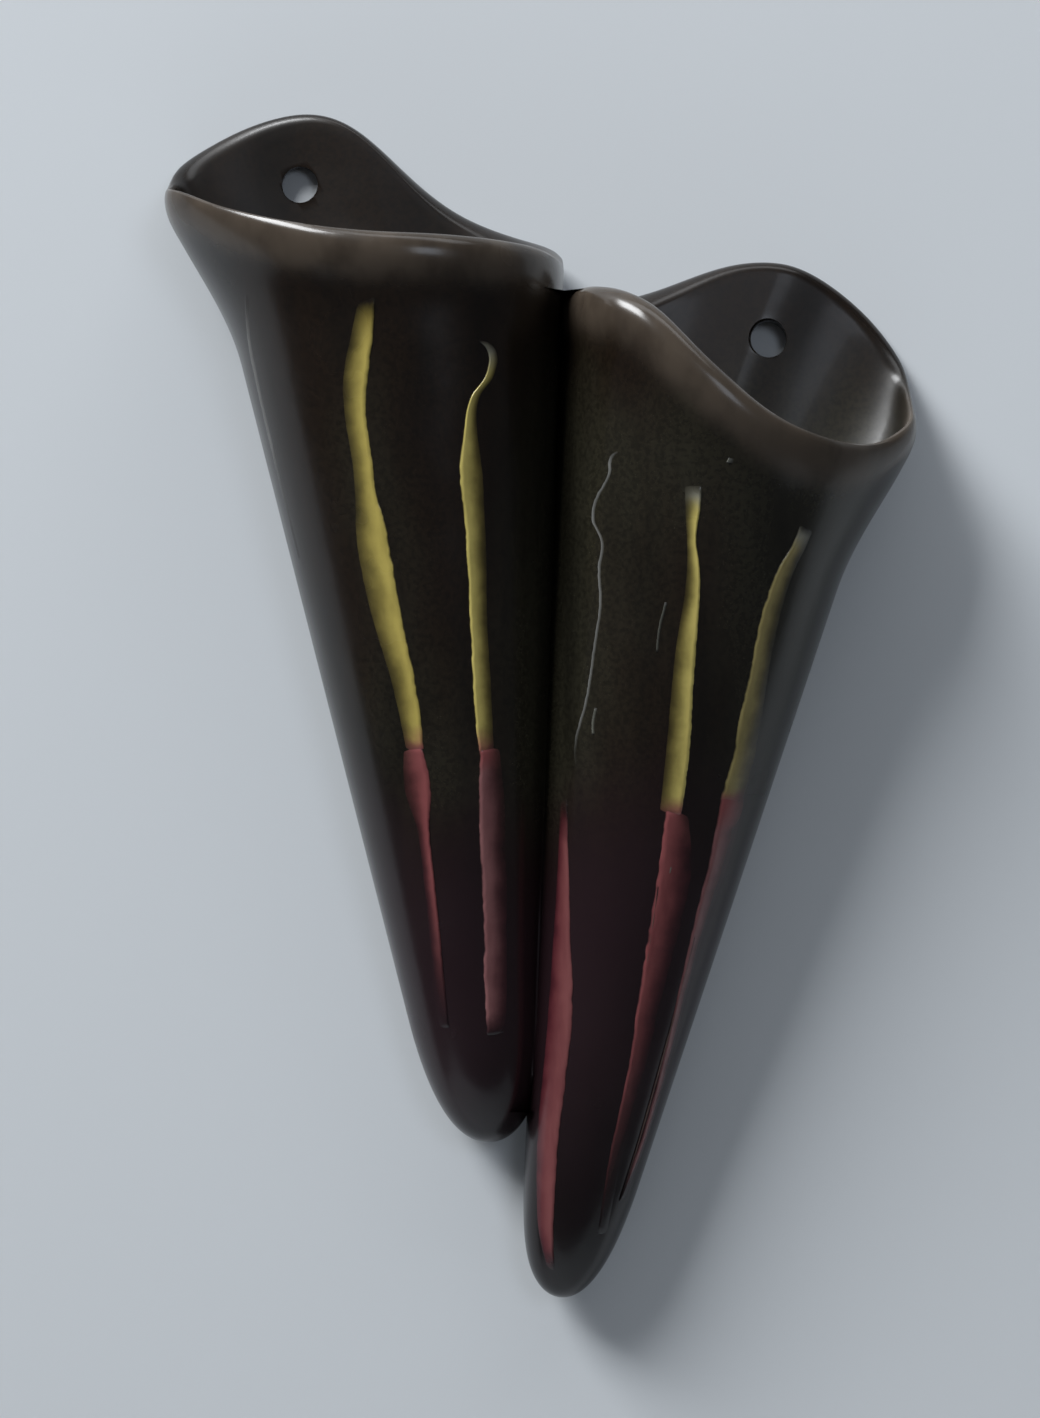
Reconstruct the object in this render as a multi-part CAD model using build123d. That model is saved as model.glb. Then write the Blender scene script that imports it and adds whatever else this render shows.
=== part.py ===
from build123d import *
from dataclasses import dataclass
import math
import os

os.makedirs("parts", exist_ok=True)

# A hanging wall vase: two slip-cast conical pockets with flat backs, luted side by side with slip
# and dressed with applied glaze trails. The wall plane is y = 0, the vase stands out towards -Y,
# +X is to the right as seen from the room and +Z is up. Sizes are millimetres and degrees.

# Clay, shared by both pockets. The knee is where the steep tip runs into the long taper; the right
# pocket is slimmer there, by knee_step
wall = 4.0
tip_wall = 6.0
axis_inset = 6.0
taper_angle = 8.4
knee_step = 1.7

# Left pocket
left_tip_x = -4.7
left_tip_z = -72.9
left_lean_angle = -5.9
left_tip_radius = 8.0
left_knee_height = 14.5
left_knee_radius = 10.8
left_flare_start = 134.0
left_flare_bend = 72.0

# Right pocket
right_tip_x = 6.4
right_tip_z = -99.0
right_lean_angle = 10.0
right_tip_radius = 6.2
right_knee_height = 14.0
right_knee_radius = left_knee_radius - knee_step
right_flare_start = 125.0
right_flare_bend = 101.0

# Seam between the pockets: where it crosses z = 0 and how far it leans
seam_x = 4.9
seam_lean_angle = 2.0

# Rims: the level of each front lip's low stretch, how far the front's high end, the back lobe and
# the outer corner rise above it, and how much of the sharp outer corner is taken off
left_rim_z = 74.6
left_front_rise = 11.9
left_lobe_rise = 26.8
left_corner_rise = 11.7
left_corner_trim = 1.25
right_rim_z = 42.7
right_front_rise = 26.7
right_lobe_rise = 33.3
right_corner_rise = 5.5
right_corner_trim = 1.3
rim_blend = 10.0

# Hanging holes: how far each lies below the top of its lobe
hole_radius = 3.2
left_hole_drop = 12.3
right_hole_drop = 13.3

# Slip in the front valley
slip_reach = 3.0
slip_sag = 1.2
slip_edge = 0.3
slip_root = 2.5
slip_top_gap = 1.0
slip_bottom_gap = 12.0

# Glaze trails
trail_relief = 0.45

# Working allowances: past everything that is cut, and a little past a face
beyond = left_rim_z - right_tip_z
overrun = 12.0

# Rims, from the outer corner to the seam, as (share of the mouth's width, share of the front's
# rise, share of the lobe's rise)
left_rim_shares = [
    (0.022, 0.95, 0.62), (0.073, 0.807, 0.757), (0.175, 0.513, 0.907), (0.334, 0.252, 1.0),
    (0.48, 0.118, 0.884), (0.582, 0.067, 0.642), (0.708, 0.05, 0.381), (0.888, 0.025, 0.175),
    (0.936, 0.008, 0.131), (1.0, -0.26, 0.082),
]
right_rim_shares = [
    (0.028, 0.199, 0.514), (0.079, 0.064, 0.655), (0.149, 0.0, 0.787), (0.288, 0.026, 0.952),
    (0.418, 0.131, 1.0), (0.61, 0.479, 0.928), (0.776, 0.843, 0.811), (0.891, 0.97, 0.766),
    (1.0, 1.004, 0.718),
]
left_hole_share = 0.328
right_hole_share = 0.401
blend_shares = [0.0, 0.25, 0.5, 0.75, 1.0]
# Glaze trails, as (height as a share of the rim's height above the tip, left edge and right edge as
# shares of the pocket's radius there)
left_trail_shares = {
    "outer": [(0.971, -0.83, -0.78), (0.922, -0.91, -0.86), (0.813, -0.93, -0.88), (0.678, -0.93, -0.89)],
    "middle_upper": [
        (0.94, -0.2, -0.13), (0.858, -0.37, -0.24), (0.795, -0.395, -0.285),
        (0.678, -0.375, -0.245), (0.56, -0.365, -0.21), (0.456, -0.34, -0.215),
    ],
    "middle_lower": [
        (0.449, -0.39, -0.25), (0.407, -0.4, -0.19), (0.343, -0.385, -0.26), (0.244, -0.45, -0.32),
        (0.14, -0.52, -0.41),
    ],
    "inner_upper": [
        (0.886, 0.47, 0.53), (0.849, 0.44, 0.52), (0.813, 0.34, 0.42), (0.75, 0.255, 0.45),
        (0.651, 0.265, 0.41), (0.542, 0.25, 0.39), (0.452, 0.26, 0.4),
    ],
    "inner_lower": [
        (0.445, 0.26, 0.4), (0.389, 0.22, 0.43), (0.28, 0.185, 0.42), (0.199, 0.13, 0.38),
        (0.127, 0.095, 0.335),
    ],
}
right_trail_shares = {
    "inner_upper": [
        (0.973, -0.55, -0.52), (0.947, -0.605, -0.57), (0.903, -0.67, -0.635), (0.869, -0.595, -0.56),
        (0.799, -0.58, -0.545), (0.695, -0.61, -0.575), (0.608, -0.65, -0.615),
    ],
    "inner_lower": [
        (0.582, -0.76, -0.7), (0.504, -0.745, -0.66), (0.434, -0.75, -0.585), (0.347, -0.78, -0.465),
        (0.269, -0.82, -0.455), (0.191, -0.82, -0.44), (0.13, -0.64, -0.46), (0.078, -0.5, -0.43),
    ],
    "middle_upper": [
        (0.947, -0.14, -0.05), (0.912, -0.09, -0.03), (0.869, -0.045, 0.02), (0.799, -0.015, 0.08),
        (0.73, 0.02, 0.14), (0.66, 0.07, 0.21), (0.591, 0.12, 0.275),
    ],
    "middle_lower": [
        (0.584, 0.13, 0.29), (0.521, 0.16, 0.42), (0.46, 0.19, 0.44), (0.374, 0.23, 0.46),
        (0.287, 0.3, 0.5), (0.174, 0.35, 0.52), (0.087, 0.5, 0.65),
    ],
    "outer_upper": [
        (0.93, 0.575, 0.65), (0.869, 0.52, 0.6), (0.808, 0.49, 0.61), (0.747, 0.51, 0.65),
        (0.686, 0.54, 0.69), (0.617, 0.55, 0.72),
    ],
    "outer_lower": [
        (0.61, 0.56, 0.74), (0.539, 0.6, 0.76), (0.478, 0.62, 0.74), (0.4, 0.66, 0.75),
        (0.304, 0.72, 0.81), (0.217, 0.76, 0.84), (0.13, 0.7, 0.78),
    ],
}
mouth_section_shares = [0.0, 0.5, 1.0]
slip_level_shares = [0.0, 0.12, 0.25, 0.4, 0.55, 0.7, 0.85, 1.0]
halvings = 40


def halve(is_low, low, high):
    """The place between low and high where is_low stops being true."""
    for _ in range(halvings):
        middle = (low + high) / 2
        if is_low(middle):
            low = middle
        else:
            high = middle
    return (low + high) / 2


def seam_at(z):
    """X of the seam plane at a level."""
    return seam_x + z * math.tan(math.radians(seam_lean_angle))


@dataclass
class Pocket:
    """One conical pocket: the line of its axis, the growth of its radius and its wavy rim."""

    tip_x: float
    tip_z: float
    lean_angle: float
    tip_radius: float
    knee_height: float
    knee_radius: float
    flare_start: float
    flare_bend: float
    rim_z: float
    front_rise: float
    lobe_rise: float
    corner_rise: float
    corner_trim: float
    rim_shares: list
    outer_side: int

    def place(self):
        """Location of the tip, with local Z along the axis."""
        return Pos(self.tip_x, -axis_inset, self.tip_z) * Rot(0, self.lean_angle, 0)

    def rim_height(self):
        """Height of the rim's low stretch above the tip, along the axis."""
        return (self.rim_z - self.tip_z) / math.cos(math.radians(self.lean_angle))

    def length(self):
        """Length of the uncut pocket, which clears its lobe."""
        return self.rim_height() + self.lobe_rise / math.cos(math.radians(self.lean_angle)) + overrun

    def taper(self, height, inset=0.0):
        """Radius of the straight taper at a height above the tip."""
        return self.knee_radius - inset + math.tan(math.radians(taper_angle)) * (height - self.knee_height)

    def flare(self, height):
        """How far the outer side swings out beyond the straight taper."""
        rise = max(height - self.flare_start, 0)
        return rise**2 / (2 * self.flare_bend)

    def circle(self, height, inset):
        """Section of the pocket at a height, its seam side kept on the straight taper."""
        swing = self.flare(height) / 2
        disc = Circle(self.taper(height, inset) + swing)
        return Pos(self.outer_side * swing, 0, height) * disc

    def across(self, height):
        """Centre and radius of the outer section at a height, across the axis."""
        if height < self.tip_radius:
            return 0, math.sqrt(max(2 * self.tip_radius - height, 0) * max(height, 0))
        swing = self.flare(height) / 2
        return self.outer_side * swing, self.taper(height) + swing

    def front_point(self, height, share):
        """Front-view point at a height and a share of the radius across."""
        centre, radius = self.across(height)
        point = self.place() * Pos(centre + share * radius, 0, height)
        return Vector(point.position.X, 0, point.position.Z)

    def depth_at(self, x, z):
        """How far the outer surface stands in front of the wall at a front-view point."""
        local = (self.place().inverse() * Pos(x, -axis_inset, z)).position
        centre, radius = self.across(local.Z)
        return axis_inset + math.sqrt(max(radius**2 - (local.X - centre) ** 2, 0))

    def corner(self):
        """Outer corner of the rim in the front view, a little inside the uncut flare."""
        z = self.rim_z + self.corner_rise
        height = halve(lambda at: self.front_point(at, self.outer_side).Z < z, 0, self.length())
        return Vector(self.front_point(height, self.outer_side).X - self.outer_side * self.corner_trim, 0, z)

    def mouth_x(self, share):
        """X at a share of the mouth's width, from the outer corner to the seam."""
        corner = self.corner().X
        return corner + share * (seam_at(self.rim_z) - corner)

    def rim_section(self, y, weight):
        """Everything above the rim at a distance from the wall: 0 is the lobe's outline, 1 the front's."""
        line = [Vector(self.corner().X, y, self.corner().Z)]
        for along, front, lobe in self.rim_shares:
            low = front * self.front_rise
            high = lobe * self.lobe_rise
            line.append(Vector(self.mouth_x(along), y, self.rim_z + high + (low - high) * weight))
        out = Vector(self.outer_side * beyond, 0, 0)
        up = Vector(0, 0, beyond)
        around = [line[-1], line[-1] - out, line[-1] - out + up, line[0] + out + up, line[0] + out, line[0]]
        return Wire([Spline(*line)] + Polyline(*around).edges())

    def waste(self):
        """Everything above the wavy rim, which runs from the lobe's outline over to the front's."""
        levels = [(overrun, 0)]
        levels += [(-wall - share * rim_blend, share**2 * (3 - 2 * share)) for share in blend_shares]
        levels += [(-beyond, 1)]
        return loft([Face(self.rim_section(y, weight)) for y, weight in levels], ruled=True)

    def tip(self, inset, tip_inset):
        """The round tip, turned about the axis: a ball that runs into a steeper cone up to the knee."""
        radius = self.tip_radius - inset
        knee = Vector(self.knee_radius - inset, 0, self.knee_height)
        centre_drop = self.knee_height - tip_inset - radius
        slope = math.acos(radius / math.hypot(knee.X, centre_drop)) - math.atan2(centre_drop, knee.X)
        foot = Vector(0, 0, tip_inset)
        meeting = foot + Vector(radius * math.cos(slope), 0, radius * (1 - math.sin(slope)))
        ball = TangentArc(foot, meeting, tangent=Vector(1, 0, 0))
        lid = Line(knee, Vector(0, 0, self.knee_height))
        core = Line(Vector(0, 0, self.knee_height), foot)
        return revolve(Face(Wire([ball, Line(meeting, knee), lid, core])), Axis.Z)

    def body(self, inset=0.0, tip_inset=0.0):
        """The whole round pocket, drawn in by inset all round and by tip_inset at the tip."""
        straight = self.flare_start - self.knee_height
        cone = Cone(self.knee_radius - inset, self.taper(self.flare_start, inset), straight)
        cone = Pos(0, 0, self.knee_height + straight / 2) * cone
        rise = self.length() - self.flare_start
        heights = [self.flare_start + share * rise for share in mouth_section_shares]
        mouth = loft([self.circle(height, inset) for height in heights])
        return self.place() * (self.tip(inset, tip_inset) + cone + mouth)

    def core(self):
        """The pocket before it is hollowed: flat back, blunt outer corner and wavy rim."""
        span = Pos(self.corner().X - self.outer_side * beyond, 0, 0) * Box(2 * beyond, 4 * beyond, 4 * beyond)
        return largest((self.body() & room_side() & span) - self.waste())

    def hole(self, share, drop):
        """A rod along Y that bores the hanging hole."""
        z = self.rim_z + self.lobe_rise - drop
        return Pos(self.mouth_x(share), 0, z) * Rot(90, 0, 0) * Cylinder(hole_radius, 4 * wall)


def room_side(depth=0.0):
    """Everything in front of a plane that stands depth in front of the wall."""
    return Pos(0, -2 * beyond - depth, 0) * Box(4 * beyond, 4 * beyond, 4 * beyond)


def seam_side(side, gap=0.0):
    """Everything on one side of the seam plane (-1 left, +1 right), kept gap away from it."""
    seam = Pos(seam_x, 0, 0) * Rot(0, seam_lean_angle, 0)
    return seam * Pos(side * (2 * beyond + gap), 0, 0) * Box(4 * beyond, 4 * beyond, 4 * beyond)


def largest(shape):
    """The largest solid of a shape."""
    return shape.solids().sort_by(SortBy.VOLUME)[-1]


def crease_x(z):
    """Where the two outer surfaces meet in the front view at a level."""
    low = seam_x - left.knee_radius
    high = seam_x + left.knee_radius
    return halve(lambda x: left.depth_at(x, z) > right.depth_at(x, z), low, high)


def slip_section(z):
    """Section of the slip: a shallow hollow face across the valley, its sides sunk into both cones."""
    x = crease_x(z)
    left_skin = -left.depth_at(x - slip_reach, z)
    right_skin = -right.depth_at(x + slip_reach, z)
    start = Vector(x - slip_reach, left_skin - slip_edge, z)
    end = Vector(x + slip_reach, right_skin - slip_edge, z)
    hollow = Vector(x, (start.Y + end.Y) / 2 + slip_sag, z)
    end_root = Vector(x + slip_reach, right_skin + slip_root, z)
    start_root = Vector(x - slip_reach, left_skin + slip_root, z)
    face_line = ThreePointArc(start, hollow, end)
    sides = Polyline(end, end_root, start_root, start)
    return Face(Wire([face_line] + sides.edges()))


def seam_slip(left_core, right_core):
    """The slip smoothed into the front valley, from the notch between the rims to the left tip."""
    top = right.rim_z + right.front_rise - slip_top_gap
    bottom = left.tip_z + slip_bottom_gap
    levels = [top + (bottom - top) * share for share in slip_level_shares]
    filler = loft([slip_section(level) for level in levels], ruled=True)
    return largest(filler - left_core - right_core)


def trail(pocket, band, stations):
    """One applied glaze trail: the part of the band inside a wavy outline in the front view."""
    rows = [(share * pocket.rim_height(), low, high) for share, low, high in stations]
    near = [pocket.front_point(height, low) for height, low, high in rows]
    far = [pocket.front_point(height, high) for height, low, high in rows]
    low_edge = Line(near[-1], far[-1])
    high_edge = Line(far[0], near[0])
    outline = Wire([Spline(*near), low_edge, Spline(*reversed(far)), high_edge])
    prism = extrude(Face(outline), amount=beyond, dir=(0, -1, 0))
    return largest(band & prism)


def glaze_trails(pocket, side, tables, keep_clear):
    """All the trails of a pocket, by node name."""
    band = (pocket.body(-trail_relief, -trail_relief) & room_side(axis_inset)) - pocket.body()
    for solid in keep_clear:
        band = band - solid
    return {f"{side}_{name}_trail": trail(pocket, band, stations) for name, stations in tables.items()}


left = Pocket(
    left_tip_x, left_tip_z, left_lean_angle, left_tip_radius, left_knee_height, left_knee_radius,
    left_flare_start, left_flare_bend, left_rim_z, left_front_rise, left_lobe_rise, left_corner_rise,
    left_corner_trim, left_rim_shares, -1,
)
right = Pocket(
    right_tip_x, right_tip_z, right_lean_angle, right_tip_radius, right_knee_height, right_knee_radius,
    right_flare_start, right_flare_bend, right_rim_z, right_front_rise, right_lobe_rise, right_corner_rise,
    right_corner_trim, right_rim_shares, 1,
)


def build():
    """Every piece of the vase, by node name."""
    left_core = left.core() & seam_side(-1)
    right_core = right.core() - left_core
    left_cavity = left.body(wall, tip_wall) & room_side(wall) & seam_side(-1, wall)
    right_cavity = right.body(wall, tip_wall) & room_side(wall) & seam_side(1, wall)
    slip = seam_slip(left_core, right_core)
    pieces = {
        "left_cone": left_core - left_cavity - left.hole(left_hole_share, left_hole_drop),
        "right_cone": right_core - right_cavity - right.hole(right_hole_share, right_hole_drop),
        "front_seam_slip": slip,
    }
    pieces.update(glaze_trails(left, "left", left_trail_shares, [right_core, slip]))
    pieces.update(glaze_trails(right, "right", right_trail_shares, [left_core, slip]))
    return pieces


for node, shape in build().items():
    export_step(shape, f"parts/{node}.step")
    print(node, round(shape.volume, 1), shape.is_valid)
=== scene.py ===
"""Looks of the hanging wall vase: two glazed cones joined at a slip seam, with dripped glaze trails."""

from __future__ import annotations

import logging
import math
from dataclasses import dataclass
from enum import Enum

import bmesh
import bpy
import numpy as np
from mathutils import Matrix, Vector
from mathutils.bvhtree import BVHTree

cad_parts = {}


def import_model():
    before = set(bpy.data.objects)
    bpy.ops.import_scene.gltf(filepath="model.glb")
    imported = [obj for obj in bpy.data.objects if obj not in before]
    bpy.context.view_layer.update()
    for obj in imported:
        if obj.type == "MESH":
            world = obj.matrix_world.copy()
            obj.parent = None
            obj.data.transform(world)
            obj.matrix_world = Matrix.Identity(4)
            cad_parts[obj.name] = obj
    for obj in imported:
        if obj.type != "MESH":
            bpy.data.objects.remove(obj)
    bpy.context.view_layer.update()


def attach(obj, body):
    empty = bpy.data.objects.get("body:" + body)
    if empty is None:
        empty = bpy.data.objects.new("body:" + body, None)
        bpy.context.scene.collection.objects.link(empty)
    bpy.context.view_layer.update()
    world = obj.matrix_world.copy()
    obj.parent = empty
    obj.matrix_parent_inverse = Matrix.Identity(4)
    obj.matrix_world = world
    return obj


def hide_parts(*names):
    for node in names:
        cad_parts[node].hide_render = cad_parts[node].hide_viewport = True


LOG = logging.getLogger("wall_vase")
MM = 0.001
FAR = 1e4
GRAZING = 1e-4
NOTHING = 1e-6
TO_WALL = (0.0, 1.0, 0.0)
EDGE_STEPS = 12


# Node building


class Wire:
    """One node output, so that maths on sockets reads as an ordinary expression."""

    def __init__(self, loom: "Loom", socket: bpy.types.NodeSocket) -> None:
        """Hold a socket and the tree that it belongs to.

        Args:
            loom: The wrapper of the node tree.
            socket: The output socket.
        """
        self.loom = loom
        self.socket = socket

    def __getitem__(self, name: str) -> "Wire":
        """Another output of the same node, by name."""
        return Wire(self.loom, self.socket.node.outputs[name])

    def _join(self, operation: str, first: "Wire | float", second: "Wire | float") -> "Wire":
        """A Math node of two values."""
        return self.loom.add("ShaderNodeMath", {"operation": operation}, {0: first, 1: second})

    def __add__(self, other: "Wire | float") -> "Wire":
        """Sum of two values."""
        return self._join("ADD", self, other)

    def __radd__(self, other: float) -> "Wire":
        """Sum of a number and this value."""
        return self._join("ADD", other, self)

    def __sub__(self, other: "Wire | float") -> "Wire":
        """Difference of two values."""
        return self._join("SUBTRACT", self, other)

    def __rsub__(self, other: float) -> "Wire":
        """A number less this value."""
        return self._join("SUBTRACT", other, self)

    def __mul__(self, other: "Wire | float") -> "Wire":
        """Product of two values."""
        return self._join("MULTIPLY", self, other)

    def __rmul__(self, other: float) -> "Wire":
        """Product of a number and this value."""
        return self._join("MULTIPLY", other, self)

    def __pow__(self, other: "Wire | float") -> "Wire":
        """This value raised to a power."""
        return self._join("POWER", self, other)

    def ramp(self, low: float, high: float) -> "Wire":
        """Smooth step of this value.

        Args:
            low: Value where the step is 0.
            high: Value where the step is 1; it may lie below low.

        Returns:
            The step, from 0 to 1.
        """
        flip = high < low
        ends = (1.0, 0.0) if flip else (0.0, 1.0)
        settings = {"interpolation_type": "SMOOTHSTEP"}
        sockets = {0: self, 1: min(low, high), 2: max(low, high), 3: ends[0], 4: ends[1]}
        return self.loom.add("ShaderNodeMapRange", settings, sockets)


class Loom:
    """A node tree with one method that adds any node."""

    def __init__(self, tree: bpy.types.NodeTree) -> None:
        """Hold the tree."""
        self.tree = tree

    def add(self, kind: str, settings: dict | None = None, sockets: dict | None = None) -> Wire:
        """Add one node.

        Args:
            kind: The node's type name.
            settings: Properties that are set first.
            sockets: Values or wires of its inputs, by name or index.

        Returns:
            The node's first output, or the first input of an output node.
        """
        node = self.tree.nodes.new(kind)
        for name, value in (settings or {}).items():
            setattr(node, name, value)
        for name, value in (sockets or {}).items():
            if isinstance(value, Wire):
                self.tree.links.new(value.socket, node.inputs[name])
            else:
                node.inputs[name].default_value = value
        return Wire(self, node.outputs[0] if node.outputs else node.inputs[0])

    def mix(self, share: "Wire | float", low: "Wire | tuple", high: "Wire | tuple") -> Wire:
        """Mix of two colours."""
        ends = [c if isinstance(c, Wire) else (*c, 1.0) for c in (low, high)]
        node = self.add("ShaderNodeMix", {"data_type": "RGBA"}, {0: share, 6: ends[0], 7: ends[1]})
        return Wire(self, node.socket.node.outputs[2])

    def noise(self, place: Wire, scale: float, detail: float = 3.0, stretch: tuple = (1, 1, 1)) -> Wire:
        """Noise on a place, stretched along the axes."""
        spread = self.add("ShaderNodeMapping", {}, {0: place, 3: stretch})
        return self.add("ShaderNodeTexNoise", {}, {"Vector": spread, "Scale": scale, "Detail": detail})


# Shape of the vase, in millimetres


class Side(Enum):
    """Which way a cone's flared outer side points along X."""

    LEFT = -1
    RIGHT = 1


def smooth(value: np.ndarray) -> np.ndarray:
    """Smooth step of values clipped to 0..1."""
    value = np.clip(value, 0.0, 1.0)
    return value * value * (3 - 2 * value)


def follow(points: list, where: np.ndarray) -> np.ndarray:
    """Smooth curve through outline points.

    Args:
        points: Pairs of a place and a value, in order of place.
        where: The places asked for.

    Returns:
        The values there; beyond the ends they hold.
    """
    places, values = np.array(points, float).T
    slopes = np.gradient(values, places)
    where = np.clip(where, places[0], places[-1])
    k = np.clip(np.searchsorted(places, where) - 1, 0, len(places) - 2)
    span = places[k + 1] - places[k]
    t = (where - places[k]) / span
    rise = values[k] * (2 * t**3 - 3 * t**2 + 1) + values[k + 1] * (3 * t**2 - 2 * t**3)
    return rise + span * (slopes[k] * (t**3 - 2 * t**2 + t) + slopes[k + 1] * (t**3 - t**2))


def reach_to(distance: np.ndarray, direction: np.ndarray) -> np.ndarray:
    """Reach to a plane.

    Args:
        distance: Distances to the plane, square to it.
        direction: The part of each unit step that goes towards the plane.

    Returns:
        Reaches; those that never meet the plane are very long.
    """
    return np.where(direction > GRAZING, distance / np.clip(direction, GRAZING, None), FAR)


@dataclass(frozen=True)
class Seam:
    """The plane where the cones are luted together."""

    x: float = 4.9
    lean: float = 2.0

    def at(self, z: np.ndarray) -> np.ndarray:
        """X of the seam plane at a height."""
        return self.x + z * math.tan(math.radians(self.lean))


@dataclass(frozen=True)
class ConeShape:
    """One conical pocket: sizes of its body, its rim outlines and its wall."""

    side: Side
    tip_x: float
    tip_z: float
    lean: float
    cap_length: float
    cap_radius: float
    flare_start: float
    flare_bend: float
    front_rim: list
    back_rim: list
    corner_x: float
    luting: float
    seam: Seam = Seam()
    taper: float = 8.4
    axis_inset: float = 6.0
    wall: float = 4.0
    tip_wall: float = 6.0
    rim_blend: float = 10.0
    bead: float = 0.9
    bead_fall: float = 3.8
    lip_stretch: float = 0.5
    inner_bead: float = 0.3
    corner_power: float = 8.0
    inner_power: float = 4.0
    outer_power: float = 22.0
    thinning: float = 0.6
    rim_easing: int = 7
    round_power: float = 4.5
    inner_round_power: float = 2.6
    round_run: float = 25.0
    round_widening: float = 0.07
    rim_thinning: float = 0.45
    round_reach: float = 1.2
    widening_start: float = -0.5
    widening_run: float = 0.8
    least_gap: float = 0.3
    least_share: float = 1e-3
    lowest_rim: float = 90.0
    highest_rim: float = 205.0
    rim_steps: int = 40

    def radius(self, height: np.ndarray, inset: np.ndarray) -> np.ndarray:
        """Radius of the straight taper, closed by a blunt tip.

        Args:
            height: Heights above the tip along the axis.
            inset: How far the section is drawn in from the outer skin.

        Returns:
            Radii in millimetres.
        """
        slope = math.tan(math.radians(self.taper))
        foot = self.tip_wall * np.clip(inset / self.wall, 0, 1)
        full = self.cap_radius - inset
        share = np.clip((height - foot) / (self.cap_length - foot), 0, None)
        ease = slope * (self.cap_length - foot) / full
        cap = full * ((2 - 2 * ease) * np.sqrt(share) + (2 * ease - 1) * share)
        return np.where(share < 1, cap, full + slope * (height - self.cap_length))

    def swing(self, height: np.ndarray) -> np.ndarray:
        """How far the flare carries the section's middle outwards."""
        return np.clip(height - self.flare_start, 0, None) ** 2 / (4 * self.flare_bend)

    def to_world(self, across: np.ndarray, y: np.ndarray, height: np.ndarray) -> np.ndarray:
        """Points of the pocket's leaning frame in the row frame, in millimetres."""
        a = math.radians(self.lean)
        x = self.tip_x + across * math.cos(a) + height * math.sin(a)
        z = self.tip_z - across * math.sin(a) + height * math.cos(a)
        return np.stack(np.broadcast_arrays(x, y, z), axis=-1)

    def skin(self, height: np.ndarray, turn: np.ndarray, inset: np.ndarray) -> np.ndarray:
        """Points of the flat-backed section, its corners rounded by a soft minimum.

        Args:
            height: Heights above the tip along the axis.
            turn: Angles around the section, 0 along the pocket's +X and a quarter turn at the wall.
            inset: How far the skin lies inside the outer one.

        Returns:
            Points in the row frame, in millimetres.
        """
        height, turn, inset = np.broadcast_arrays(height, turn, inset)
        dx, dy = np.cos(turn), np.sin(turn)
        mouth = smooth((height - self.flare_start) / self.round_run)
        mouth = mouth * smooth(self.side.value * dx * self.round_reach)
        inset = inset * (1 - self.rim_thinning * mouth)
        swing = self.swing(height)
        round_radius = self.radius(height, inset) + swing
        back = self.axis_inset - np.clip(inset, 0, None)
        centre_y = -self.axis_inset - np.clip(round_radius - back, 0, None) / 2
        off_y = centre_y + self.axis_inset
        along = dy * off_y
        reaches = np.stack([
            -along + np.sqrt(np.clip(along**2 - off_y**2 + round_radius**2, 0, None)),
            reach_to(-np.clip(inset, 0, None) - centre_y, dy),
            reach_to(self.seam_gap(height, inset, swing), -self.side.value * dx),
        ])
        scale = reaches.min(axis=0)
        depth = np.clip(inset / self.wall, 0, 1)
        power = self.corner_power + (self.inner_power - self.corner_power) * depth
        rounder = self.round_power + (self.inner_round_power - self.round_power) * depth
        power = power + (rounder - power) * mouth
        reach = scale * ((reaches / np.clip(scale, NOTHING, None)) ** -power).sum(axis=0) ** (-1 / power)
        wider = 1 + self.round_widening * mouth * smooth((dy - self.widening_start) / self.widening_run)
        reach = np.where(scale <= NOTHING, 0, reach) * wider
        reach = self.blunted(reach, height, inset, dx)
        return self.to_world(self.side.value * swing + dx * reach, centre_y + dy * reach, height)

    def seam_gap(self, height: np.ndarray, inset: np.ndarray, swing: np.ndarray) -> np.ndarray:
        """How far the skin of the seam side lies from the section's middle.

        Args:
            height: Heights above the tip along the axis.
            inset: How far the skin lies inside the outer one.
            swing: Half of the flare at those heights.

        Returns:
            Distances in millimetres.
        """
        lean, tilt = math.radians(self.lean), math.tan(math.radians(self.seam.lean))
        across = self.seam.at(self.tip_z + height * math.cos(lean)) - self.tip_x - height * math.sin(lean)
        across = across / (math.cos(lean) + tilt * math.sin(lean))
        gap = self.side.value * (self.side.value * swing - across) + self.luting
        gap = gap - np.clip(inset, 0, None) * (1 + self.luting / self.wall)
        return np.clip(gap, self.least_gap, None)

    def blunted(self, reach: np.ndarray, height: np.ndarray, inset: np.ndarray, dx: np.ndarray) -> np.ndarray:
        """Reaches held back softly at the outer corner of the mouth.

        Args:
            reach: Reaches from the section's middle.
            height: Heights above the tip along the axis.
            inset: How far the skin lies inside the outer one.
            dx: The part of each direction along the pocket's X.

        Returns:
            The shortened reaches.
        """
        lean = math.radians(self.lean)
        outer = self.side.value * (self.corner_x - self.tip_x - height * math.sin(lean)) / math.cos(lean)
        room = np.clip(outer - inset * self.thinning - self.swing(height), self.least_gap, None)
        blunt = room / np.clip(self.side.value * dx, self.least_share, None)
        share = np.clip(reach / blunt, self.least_share, None)
        return reach * (1 + share**self.outer_power) ** (-1 / self.outer_power)

    def rim_level(self, points: np.ndarray) -> np.ndarray:
        """Height of the wavy rim over points of the plan."""
        x, y = points[..., 0], points[..., 1]
        front = follow(self.front_rim, x)
        back = follow(self.back_rim, x)
        return back + (front - back) * smooth((-y - self.wall) / self.rim_blend)

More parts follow.
